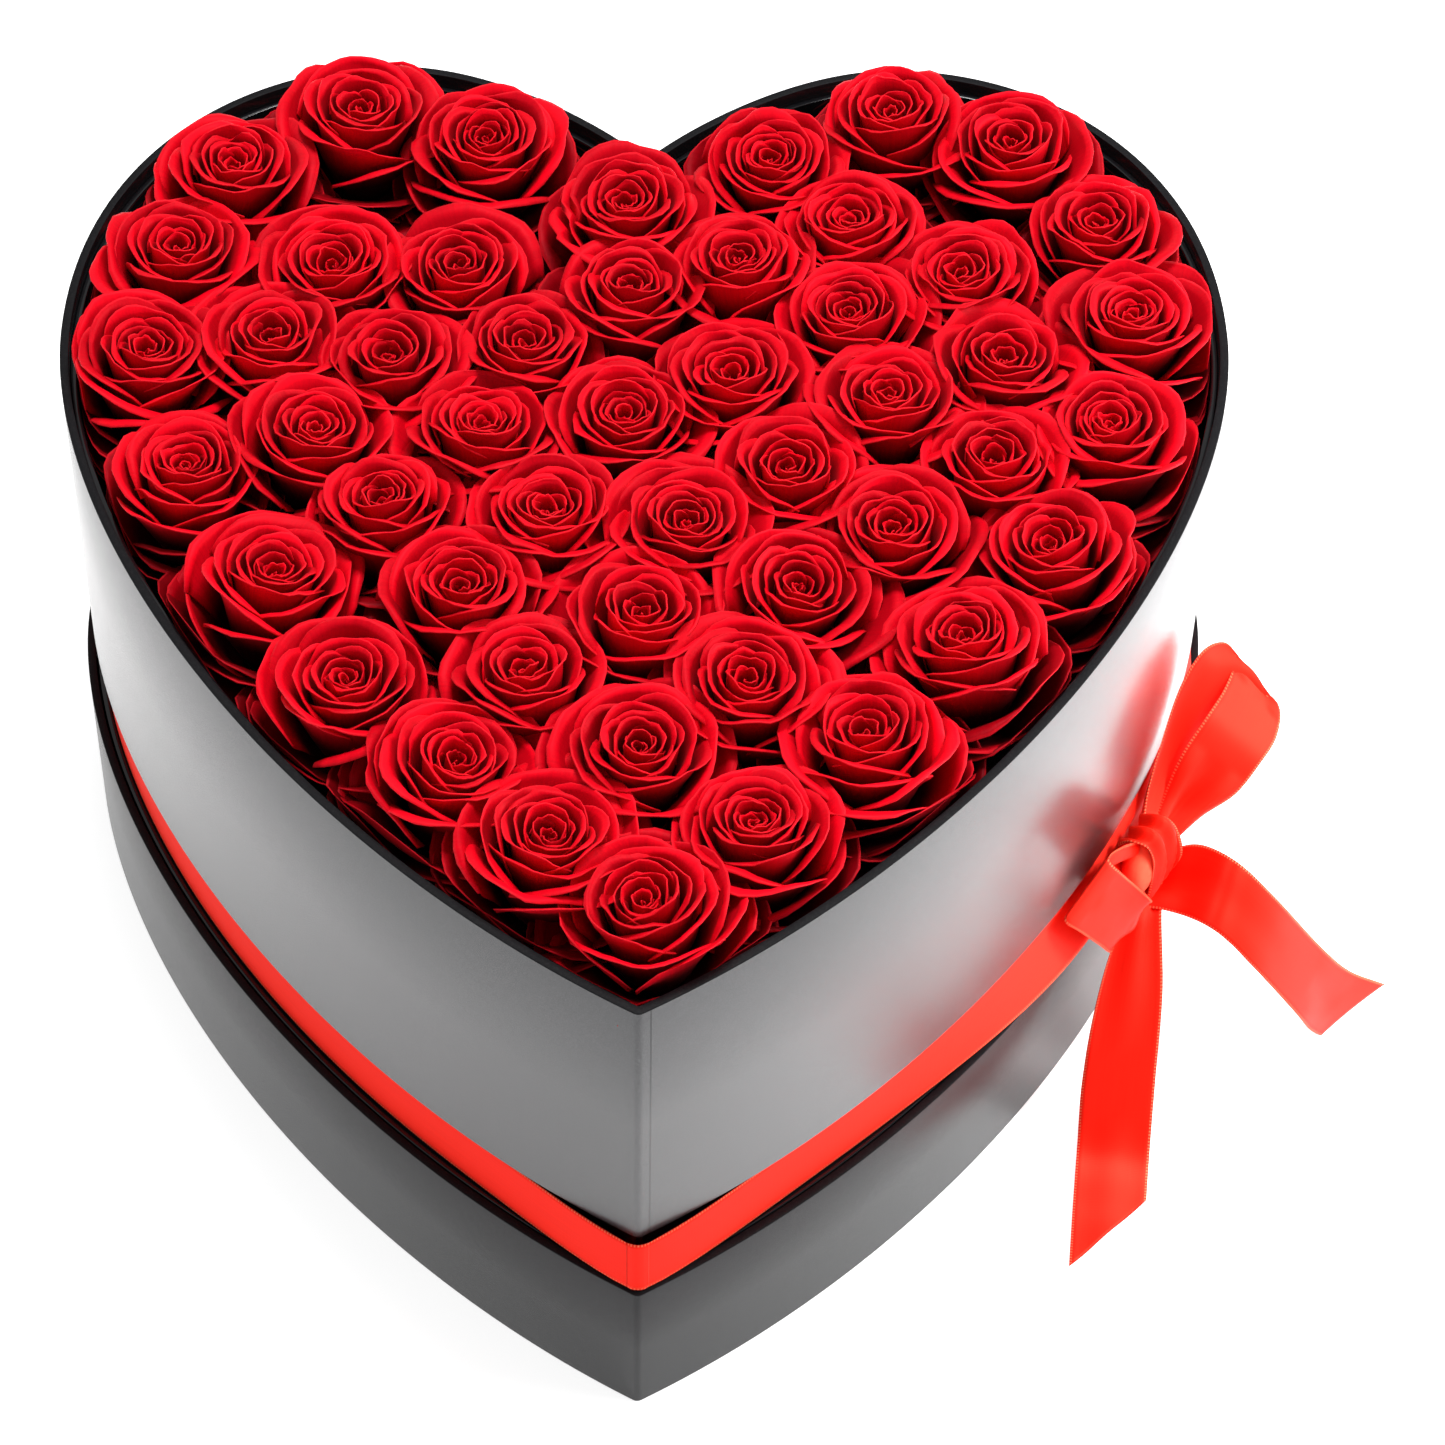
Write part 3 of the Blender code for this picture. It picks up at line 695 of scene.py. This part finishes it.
def petal_look():
    """Velvety preserved petals: deep red with faint veins along them and a soft bloom; painted shade towards
    each petal's base and on the guard petals, and a painted highlight along each lip.
    """
    look, tree, shader = new_look("rose_petal", (0.90, 0.002, 0.012), 0.50)
    shader.inputs["Sheen Weight"].default_value = 0.06
    shader.inputs["Sheen Roughness"].default_value = 0.4
    shader.inputs["Sheen Tint"].default_value = (1.0, 0.10, 0.12, 1.0)
    shader.inputs["Specular IOR Level"].default_value = 0.30
    shader.inputs["Specular Tint"].default_value = (1.0, 0.12, 0.16, 1.0)
    own_map = made_node(tree, "ShaderNodeUVMap", uv_map="petal_map")
    split = made_node(tree, "ShaderNodeSeparateXYZ")
    tree.links.new(own_map.outputs["UV"], split.inputs["Vector"])
    stretch = made_node(tree, "ShaderNodeMapping")
    stretch.inputs["Scale"].default_value = (26.0, 2.5, 1.0)
    tree.links.new(own_map.outputs["UV"], stretch.inputs["Vector"])
    veins = made_node(tree, "ShaderNodeTexNoise")
    veins.inputs["Scale"].default_value = 1.0
    veins.inputs["Detail"].default_value = 4.0
    tree.links.new(stretch.outputs["Vector"], veins.inputs["Vector"])
    relief = made_node(tree, "ShaderNodeBump")
    relief.inputs["Strength"].default_value = 0.25
    relief.inputs["Distance"].default_value = 0.0003
    tree.links.new(veins.outputs["Fac"], relief.inputs["Height"])
    tree.links.new(relief.outputs["Normal"], shader.inputs["Normal"])
    # The kept brightness: random from petal to petal, and lowered on the guard petals as painted shade.
    tone_and_shade = made_node(tree, "ShaderNodeAttribute", attribute_name="tone_and_shade")
    body = two_tone(tree, tone_and_shade.outputs["Fac"], (0.13, 0.0002, 0.002), (1.00, 0.0012, 0.014))
    # Each petal darkens towards its base: painted shade deep inside the head.
    deep = made_node(tree, "ShaderNodeMapRange")
    deep.inputs["From Min"].default_value = 0.42
    deep.inputs["From Max"].default_value = 0.88
    tree.links.new(split.outputs["Y"], deep.inputs["Value"])
    risen = made_node(tree, "ShaderNodeMix", data_type="RGBA")
    risen.inputs["A"].default_value = (0.040, 0.0001, 0.001, 1.0)
    tree.links.new(deep.outputs["Result"], risen.inputs["Factor"])
    tree.links.new(body, risen.inputs["B"])
    # A lighter, pinker band along each lip: a painted highlight where the rolled edges catch the light.
    lips = made_node(tree, "ShaderNodeMapRange")
    lips.inputs["From Min"].default_value = 0.965
    lips.inputs["From Max"].default_value = 1.0
    lips.inputs["To Max"].default_value = 0.7
    tree.links.new(split.outputs["Y"], lips.inputs["Value"])
    edge = made_node(tree, "ShaderNodeMix", data_type="RGBA")
    edge.inputs["B"].default_value = (1.0, 0.016, 0.030, 1.0)
    tree.links.new(lips.outputs["Result"], edge.inputs["Factor"])
    tree.links.new(risen.outputs["Result"], edge.inputs["A"])
    streak = made_node(tree, "ShaderNodeMix", data_type="RGBA", blend_type="MULTIPLY")
    streak.inputs["Factor"].default_value = 0.38
    tree.links.new(edge.outputs["Result"], streak.inputs["A"])
    tree.links.new(veins.outputs["Fac"], streak.inputs["B"])
    tree.links.new(streak.outputs["Result"], shader.inputs["Base Color"])
    return look


rose_petal = petal_look()
stem_look, tree, shader = new_look("green_pick", (0.006, 0.016, 0.004), 0.5)
shade = two_tone(tree, grain_on(tree, shader, 900.0, 0.2), (0.004, 0.012, 0.003), (0.010, 0.024, 0.006))
tree.links.new(shade, shader.inputs["Base Color"])

rose_head = rose_tree()
inputs = {item.name: item.identifier for item in rose_head.interface.items_tree if item.in_out == "INPUT"}
heads = np.array([tuple((low + high) / 2)[:2] for low, high in (
    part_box(f"rose_{number:02d}") for number in range(1, 51))])
liner_line = inset_line(outline, FOAM_INSET)
variety = random.Random(11)


def calyx_and_pick(shape, foot):
    """Adds the calyx under a head and its pick, turned about the head's axis."""
    profile = (
        (0.0, -0.036), (0.0070, -0.040), (0.0055, -0.048), (0.0022, -0.052),
        (0.0020, foot + 0.003), (0.0, foot),
    )
    sides = 12
    rings = []
    for reach, height in profile:
        if reach == 0.0:
            rings.append([shape.verts.new((0.0, 0.0, height))])
            continue
        turns = [2 * math.pi * side / sides for side in range(sides)]
        rings.append([shape.verts.new((reach * math.cos(a), reach * math.sin(a), height)) for a in turns])
    for upper, lower in zip(rings, rings[1:]):
        for side in range(sides):
            after = (side + 1) % sides
            corners = [upper[side % len(upper)], lower[side % len(lower)],
                       lower[after % len(lower)], upper[after % len(upper)]]
            face = shape.faces.new(list(dict.fromkeys(corners)))
            face.material_index = 1
            face.smooth = True


def pressed_inside(points, rim):
    """Presses points that would pass through the liner against its inside, fading out up to a height."""
    after = np.roll(liner_line, -1, axis=0)
    edges = after - liner_line
    normals = inward_normals(liner_line)
    squares = np.sum(edges * edges, axis=1)
    for start in range(0, len(points), PRESS_BLOCK):
        block = points[start:start + PRESS_BLOCK]
        offsets = block[:, None, :2] - liner_line[None]
        shares = np.clip(np.sum(offsets * edges, axis=2) / squares, 0.0, 1.0)
        apart = offsets - shares[..., None] * edges
        nearest = np.argmin(np.sum(apart * apart, axis=2), axis=1)
        picked = np.arange(len(block)), nearest
        room = np.sum(apart[picked] * normals[nearest], axis=1)
        squeezed = PRESS_ROOM * np.exp(np.minimum(room / PRESS_ROOM - 1, 0.0))
        wanted = np.where(room < PRESS_ROOM, squeezed, room)
        below = np.clip((rim - block[:, 2]) / PRESS_FADE, 0.0, 1.0)
        block[:, :2] += normals[nearest] * ((wanted - room) * below)[:, None]


for number, (x, y) in enumerate(heads, start=1):
    node = f"rose_{number:02d}"
    low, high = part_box(node)
    to_wall = liner_line[np.argmin(np.linalg.norm(liner_line - (x, y), axis=1))] - (x, y)
    room_left = float(np.linalg.norm(to_wall))
    source_mesh = bpy.data.meshes.new(node)
    source = bpy.data.objects.new(node + "_source", source_mesh)
    bpy.context.scene.collection.objects.link(source)
    grow = source.modifiers.new("rose_head", "NODES")
    grow.node_group = rose_head
    grow[inputs["Petals"]] = variety.choice((22, 24, 26))
    grow[inputs["Guard Petals"]] = variety.choice((8, 9, 10))
    grow[inputs["Radius"]] = HEAD_RADIUS * variety.uniform(0.96, 1.05)
    grow[inputs["Openness"]] = variety.uniform(0.25, 0.75)
    grow[inputs["Seed"]] = number
    grow[inputs["Petal Look"]] = rose_petal
    thicken = source.modifiers.new("Solidify", "SOLIDIFY")
    thicken.thickness = PETAL_THICKNESS
    thicken.offset = 0.0
    bpy.context.view_layer.update()
    head_mesh = bpy.data.meshes.new_from_object(
        source.evaluated_get(bpy.context.evaluated_depsgraph_get()), preserve_all_data_layers=True,
        depsgraph=bpy.context.evaluated_depsgraph_get())
    bpy.data.objects.remove(source, do_unlink=True)
    head_mesh.materials.clear()
    away = Vector((-to_wall[1], to_wall[0], 0.0)).normalized()
    lean_between = (2.0, 9.0) if room_left < NEAR_WALL else (-4.0, 4.0)
    lean_out = math.radians(variety.uniform(*lean_between))
    sway = Vector((variety.uniform(-1, 1), variety.uniform(-1, 1), 0.0)).normalized()
    tilt = Matrix.Rotation(-lean_out, 4, away) @ Matrix.Rotation(math.radians(variety.uniform(0, 5)), 4, sway)
    turn = Matrix.Rotation(variety.uniform(0, 2 * math.pi), 4, "Z")
    seat = Matrix.Translation((x, y, high.z))
    pivot = Matrix.Translation((0.0, 0.0, -PIVOT_DEPTH))
    head_mesh.transform(seat @ pivot @ tilt @ turn @ pivot.inverted())
    if room_left < NEAR_WALL:
        points = np.array([tuple(vertex.co) for vertex in head_mesh.vertices])
        pressed_inside(points, upper_high + PRESS_ABOVE_RIM)
        head_mesh.vertices.foreach_set("co", points.ravel())
    head = bmesh.new()
    head.from_mesh(head_mesh)
    stalk = bmesh.new()
    calyx_and_pick(stalk, low.z - high.z)
    bmesh.ops.transform(stalk, matrix=seat, verts=stalk.verts)
    stalk_mesh = bpy.data.meshes.new("stalk")
    stalk.to_mesh(stalk_mesh)
    stalk.free()
    head.from_mesh(stalk_mesh)
    finished_piece(f"{node}_head", head, (rose_petal, stem_look), "box", (node,), sharp=180.0)
    bpy.data.meshes.remove(stalk_mesh)
    bpy.data.meshes.remove(head_mesh)


# ---- Ribbon band ----
# A length of 25 mm double-faced satin laid round the groove and pulled to the right, slack
# round the heart's point. Its edges are woven selvedges.

RIBBON_WIDTH = 0.025
RIBBON_THICKNESS = 0.0004
SELVEDGE = 0.0008
STITCH_PITCH = 0.0011
TIP_SLACK = 0.006
TIP_SLACK_REACH = 0.045
BOW_SLACK = 0.0075
BOW_SLACK_REACH = 0.060
BOW_SLACK_PAST = 0.045      # the slack is widest this far past the bow
BOW_LIFT = 0.005            # the band's lower edge is drawn up to the bow
BOW_LIFT_REACH = 0.030
BAND_STAND_OFF = 0.0004     # it lies this far out from the inside of the box's board
BAND_BEND = 0.004           # it turns round the heart's point over this length each side
BAND_LEAN = 0.62            # share of the slack at its middle: its upper edge keeps nearer the wall
BAND_HANG = 0.0075          # just before the bow its lower edge hangs out over the tray
BAND_HANG_BACK = 0.040
BAND_HANG_REACH = 0.070
BOW_SEAT_Y = -0.0374


def satin_look():
    """Red satin: fine threads along it, a silky sheen across them, and stitches along each selvedge, coloured
    light peach as painted glints.
    """
    look, tree, shader = new_look("red_satin", (1.0, 0.012, 0.005), 0.55, 0.2)
    threads_along = made_node(tree, "ShaderNodeTangent", direction_type="UV_MAP", uv_map="cloth")
    tree.links.new(threads_along.outputs["Tangent"], shader.inputs["Tangent"])
    shader.inputs["Anisotropic"].default_value = 0.9
    shader.inputs["Anisotropic Rotation"].default_value = 0.25
    shader.inputs["Specular IOR Level"].default_value = 0.50
    shader.inputs["Sheen Weight"].default_value = 0.08
    shader.inputs["Sheen Roughness"].default_value = 0.3
    shader.inputs["Sheen Tint"].default_value = (1.0, 0.20, 0.06, 1.0)
    shader.inputs["Specular Tint"].default_value = (1.0, 0.42, 0.25, 1.0)
    own_map = made_node(tree, "ShaderNodeUVMap", uv_map="cloth")
    split = made_node(tree, "ShaderNodeSeparateXYZ")
    tree.links.new(own_map.outputs["UV"], split.inputs["Vector"])
    threads = made_node(tree, "ShaderNodeTexWave", wave_type="BANDS", bands_direction="X")
    threads.inputs["Scale"].default_value = 520.0
    threads.inputs["Distortion"].default_value = 0.6
    tree.links.new(own_map.outputs["UV"], threads.inputs["Vector"])
    relief = made_node(tree, "ShaderNodeBump")
    relief.inputs["Strength"].default_value = 0.12
    relief.inputs["Distance"].default_value = 0.0001
    tree.links.new(threads.outputs["Fac"], relief.inputs["Height"])
    tree.links.new(relief.outputs["Normal"], shader.inputs["Normal"])
    stretch = made_node(tree, "ShaderNodeMapping")
    stretch.inputs["Scale"].default_value = (40.0, 1400.0, 1.0)
    tree.links.new(own_map.outputs["UV"], stretch.inputs["Vector"])
    slubs = made_node(tree, "ShaderNodeTexNoise")
    slubs.inputs["Scale"].default_value = 1.0
    tree.links.new(stretch.outputs["Vector"], slubs.inputs["Vector"])
    dye = two_tone(tree, slubs.outputs["Fac"], (0.86, 0.006, 0.002), (0.97, 0.012, 0.004))
    # Stitches along each selvedge: the stitches are real, and their light peach colour is a painted glint on
    # their loops.
    from_middle = made_node(tree, "ShaderNodeMath", operation="ABSOLUTE")
    at_edge = made_node(tree, "ShaderNodeMath", operation="GREATER_THAN")
    at_edge.inputs[1].default_value = RIBBON_WIDTH / 2 - SELVEDGE
    around = made_node(tree, "ShaderNodeMath", operation="MULTIPLY")
    around.inputs[1].default_value = 2 * math.pi / STITCH_PITCH
    rounds = made_node(tree, "ShaderNodeMath", operation="SINE")
    thread = made_node(tree, "ShaderNodeMath", operation="GREATER_THAN")
    thread.inputs[1].default_value = 0.1
    picot = made_node(tree, "ShaderNodeMath", operation="MULTIPLY")
    selvedge = made_node(tree, "ShaderNodeMix", data_type="RGBA")
    selvedge.inputs["B"].default_value = (1.0, 0.16, 0.08, 1.0)
    tree.links.new(split.outputs["Y"], from_middle.inputs[0])
    tree.links.new(from_middle.outputs[0], at_edge.inputs[0])
    tree.links.new(split.outputs["X"], around.inputs[0])
    tree.links.new(around.outputs[0], rounds.inputs[0])
    tree.links.new(rounds.outputs[0], thread.inputs[0])
    tree.links.new(at_edge.outputs[0], picot.inputs[0])
    tree.links.new(thread.outputs[0], picot.inputs[1])
    tree.links.new(picot.outputs[0], selvedge.inputs["Factor"])
    tree.links.new(dye, selvedge.inputs["A"])
    tree.links.new(selvedge.outputs["Result"], shader.inputs["Base Color"])
    return look


red_satin = satin_look()


def ribbon_sheet(name, centres, widths, nodes, held, rests_on,
                 closed=False, across_steps=12, pleats=3, drift=0.0, slants=(0.0, 0.0)):
    """A satin sheet along centre points, with its width at each, a map in metres and a thickness.

    Where the width is less than the ribbon's, the cloth is gathered into pleats that use up the
    rest and drift across it. Slants are how much less of one edge is left at the two cut ends.
    """
    centres, widths = np.array(centres), np.array(widths)
    loop = np.vstack([centres, centres[:1]]) if closed else centres
    lengths = np.concatenate([[0.0], np.cumsum(np.linalg.norm(np.diff(loop, axis=0), axis=1))])
    normals = np.cross(np.gradient(centres, axis=0), widths)
    normals /= np.linalg.norm(normals, axis=1)[:, None]
    spans = np.linalg.norm(widths, axis=1)
    gather = spans / (math.pi * pleats) * np.sqrt(4 * np.clip(RIBBON_WIDTH / spans - 1, 0.0, 2.0))
    shares = np.linspace(-0.5, 0.5, across_steps + 1)
    shifts = drift * lengths[:len(centres)] / lengths[-1]
    folds = gather[:, None] * np.sin(math.pi * pleats * (shares + 0.5 + shifts[:, None]))
    cloth = centres[:, None] + widths[:, None] * shares[:, None] + normals[:, None] * folds[..., None]
    reaches = np.repeat(lengths[:, None], len(shares), axis=1)
    if any(slants):
        for place, share in enumerate(shares):
            first = abs(slants[0]) / 2 + slants[0] * share
            last = lengths[-1] - abs(slants[1]) / 2 - slants[1] * share
            reaches[:, place] = np.linspace(first, last, len(centres))
            cloth[:, place] = np.stack(
                [np.interp(reaches[:, place], lengths, cloth[:, place, axis]) for axis in range(3)], axis=1)
    sheet = bmesh.new()
    uv = sheet.loops.layers.uv.new("cloth")
    rows = [[sheet.verts.new(point) for point in row] for row in cloth]
    pairs = list(zip(rows, rows[1:]))
    if closed:
        pairs.append((rows[-1], rows[0]))
    for step, (row, following) in enumerate(pairs):
        for place in range(across_steps):
            face = sheet.faces.new((row[place], following[place], following[place + 1], row[place + 1]))
            face.smooth = True
            corners = ((step, place), (step + 1, place), (step + 1, place + 1), (step, place + 1))
            for corner, (row_number, column) in zip(face.loops, corners):
                corner[uv].uv = (reaches[row_number][column], shares[column] * RIBBON_WIDTH)
    ribbon = finished_piece(name, sheet, (red_satin,), "box", nodes, sharp=180.0)
    thicken = ribbon.modifiers.new("Solidify", "SOLIDIFY")
    thicken.thickness = RIBBON_THICKNESS
    thicken.offset = 0.0
    return ribbon


def bow_seat():
    """Where the bow sits on the wall, with the directions along the wall and out of it."""
    near = int(np.argmin(np.abs(outline[:, 1] - BOW_SEAT_Y) + (outline[:, 0] < 0.05)))
    before, after = outline[near - 1], outline[near + 1]
    along = (after - before) / np.linalg.norm(after - before)
    share = (BOW_SEAT_Y - outline[near][1]) / along[1]
    return outline[near] + along * share, along, np.array([along[1], -along[0]])


seat_place, seat_along, seat_out = bow_seat()
band_low, band_high = (corner.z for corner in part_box("ribbon_band"))

slack_place = seat_place + seat_along * BOW_SLACK_PAST
groove_line = inset_line(outline, BOARD - BAND_STAND_OFF)
hang_place = seat_place - seat_along * BAND_HANG_BACK
band_rows = []
for corner, normal in zip(groove_line, -inward_normals(groove_line)):
    near_tip = math.exp(-((np.linalg.norm(corner - groove_line[0]) / TIP_SLACK_REACH) ** 2))
    slack = BOW_SLACK * math.exp(-((np.linalg.norm(corner - slack_place) / BOW_SLACK_REACH) ** 2))
    lift = BOW_LIFT * math.exp(-((np.linalg.norm(corner - seat_place) / BOW_LIFT_REACH) ** 2))
    x, y = corner + normal * slack * BAND_LEAN + np.array([0.0, -TIP_SLACK]) * near_tip
    hang = BAND_HANG * math.exp(-((np.linalg.norm(corner - hang_place) / BAND_HANG_REACH) ** 2))
    x, y = (x, y) + normal * hang / 2
    lean_x, lean_y = -normal * (slack * (2 - 2 * BAND_LEAN) + hang)
    band_rows.append((x, y, (band_low + lift + band_high) / 2, lean_x, lean_y, band_high - band_low - lift))
band_rows = rounded_point(np.array(band_rows), BAND_BEND)
ribbon_sheet(
    "band", band_rows[:, :3], band_rows[:, 3:],
    ("ribbon_band",), "stretched", ["liner", "tray_side"], closed=True,
)


# ---- Bow ----
# The band's ends tied in front of the groove on the right: a long loop standing up along the
# wall, a short flat loop towards the heart's point, and a tight gathered knot over both.

MM = 0.001


def bow_place(along, out, height):
    """A point in millimetres along the wall, out of it and above the table."""
    flat = seat_place + seat_along * along * MM + seat_out * out * MM
    return Vector((flat[0], flat[1], height * MM))


def bow_direction(along, out, height):
    flat = seat_along * along + seat_out * out
    return Vector((flat[0], flat[1], height))


def smooth_path(points, samples):
    """A smooth line through points, with the same number of steps between each two."""
    ends = [2 * points[0] - points[1]] + list(points) + [2 * points[-1] - points[-2]]
    line = []
    for before, start, end, after in zip(ends, ends[1:], ends[2:], ends[3:]):
        leaving, arriving = start + (end - before) / 6, end - (after - start) / 6
        line += interpolate_bezier(start, leaving, arriving, end, samples + 1)[:-1]
    return line + [points[-1]]


def bow_sheet(name, stations, nodes, held, rests_on, samples=10, **make_up):
    """A ribbon through stations, each a centre point and the width it is spread to, in millimetres."""
    centres = smooth_path([bow_place(*centre) for centre, width in stations], samples)
    widths = smooth_path([bow_direction(*width) * MM for centre, width in stations], samples)
    return ribbon_sheet(name, centres, widths, nodes, held, rests_on, **make_up)


UPPER_LOOP = (
    ((3, 9, 80), (3, 2, -11)),
    ((16, 7.5, 83), (4, 8, -17)),
    ((33, 6, 90), (2, 11, -20)),
    ((48, 6, 99), (-1, 14, -20)),
    ((61, 9, 105), (-3, 17, -18)),
    ((69, 15, 105.5), (-4, 20, -14)),
    ((68, 20, 101.5), (-4, 20, -14)),
    ((58, 22, 98), (-2, 21, -14)),
    ((46, 21, 95.5), (1, 21, -14)),
    ((33, 18, 89.5), (3, 20, -13)),
    ((22, 14, 83), (3, 13, -9)),
    ((10, 12, 79), (2, 7, -8)),
    ((3, 11, 77), (1, 4, -8)),
)
LOWER_LOOP = (
    ((-1, 9, 79), (-4, -1, -11)),
    ((-12, 7.5, 84), (-11, -3, -14)),
    ((-24, 5, 90), (-19, -4, -13)),
    ((-33, 2.5, 93.5), (-23, -5, -10)),
    ((-36, 3.5, 93), (-23, -5, -10)),
    ((-33.5, 8, 87), (-23, -5, -8)),
    ((-28, 13.5, 76), (-24, -5, -5)),
    ((-24, 16, 68.5), (-24, -4.5, -4)),
    ((-19.5, 14.5, 64.5), (-21, -4, -3)),
    ((-12, 12, 66), (-12, -2, -5)),
    ((-3, 11, 72), (-6, -1, -8)),
)
KNOT = (
    ((-2, 4.5, 89.5), (17, 2, -1)),
    ((-1, 10, 92), (18, 4, -1)),
    ((0, 15, 89.5), (18, 4, -4)),
    ((0, 18, 81.5), (17, 2, -4)),
    ((-0.5, 17.5, 72.5), (16, 1, -3)),
    ((-2, 14, 65), (15, 0, 0)),
    ((-3, 8, 63), (14, 0, 0)),
)
KNOT_CORE = (11.5, 6.2, 12.5)       # half its length along the wall, out of it and up
KNOT_CORE_PLACE = (-5.0, 10.0, 78.0)
bow_sheet("upper_loop", UPPER_LOOP, ("ribbon_bow",), "folded", ["knot"])
bow_sheet("lower_loop", LOWER_LOOP, ("ribbon_bow",), "folded", ["knot"])
bow_sheet("knot", KNOT, ("ribbon_bow",), "folded", ["upper_loop", "lower_loop"],
          across_steps=20, pleats=5, drift=0.5)
core = bmesh.new()
core.loops.layers.uv.new("cloth")
bmesh.ops.create_uvsphere(core, u_segments=24, v_segments=16, radius=1.0, calc_uvs=True)
for vertex in core.verts:
    spot = [part * half + middle for part, half, middle in zip(vertex.co, KNOT_CORE, KNOT_CORE_PLACE)]
    vertex.co = bow_place(*spot)
for face in core.faces:
    face.smooth = True
bmesh.ops.recalc_face_normals(core, faces=core.faces)
finished_piece("knot_core", core, (red_satin,), "box", ("ribbon_bow",), sharp=180.0)


# ---- Ribbon tails ----
# The two ends of the ribbon, one piece through the knot: one end runs down the tray and along
# the table towards the heart's point, the other stands out, bends over and lies on the table.
# Both are cut off at a slant.

TAIL_SLANTS = (0.029, -0.015)       # how much less of one edge is left at each cut end
TAILS = (
    ((-111, 51.2, 1.0), (9, 23, 0)),
    ((-90, 43, 1.6), (9, 23, 0)),
    ((-68, 34.5, 6), (9, 23, 1)),
    ((-52, 28, 22), (12, 22, 2)),
    ((-34, 22, 42), (16, 18, 2)),
    ((-16, 16, 59), (19, 9, 2)),
    ((0, 14, 63), (20, 1, 6)),
    ((4, 24, 68), (20, -2, 14)),
    ((1, 40, 71), (18, -2, 17)),
    ((2, 56, 58), (19, -2, 16)),
    ((11, 70, 32), (20, -2, 15)),
    ((20, 77.5, 13), (21, 3, 13)),
    ((32.5, 86.5, -3.2), (21, 7, 13)),
)
bow_sheet("tails", TAILS, ("ribbon_tails",), "draped", ["knot"], samples=14, slants=TAIL_SLANTS)


# ---- Sizes ----

low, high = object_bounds()
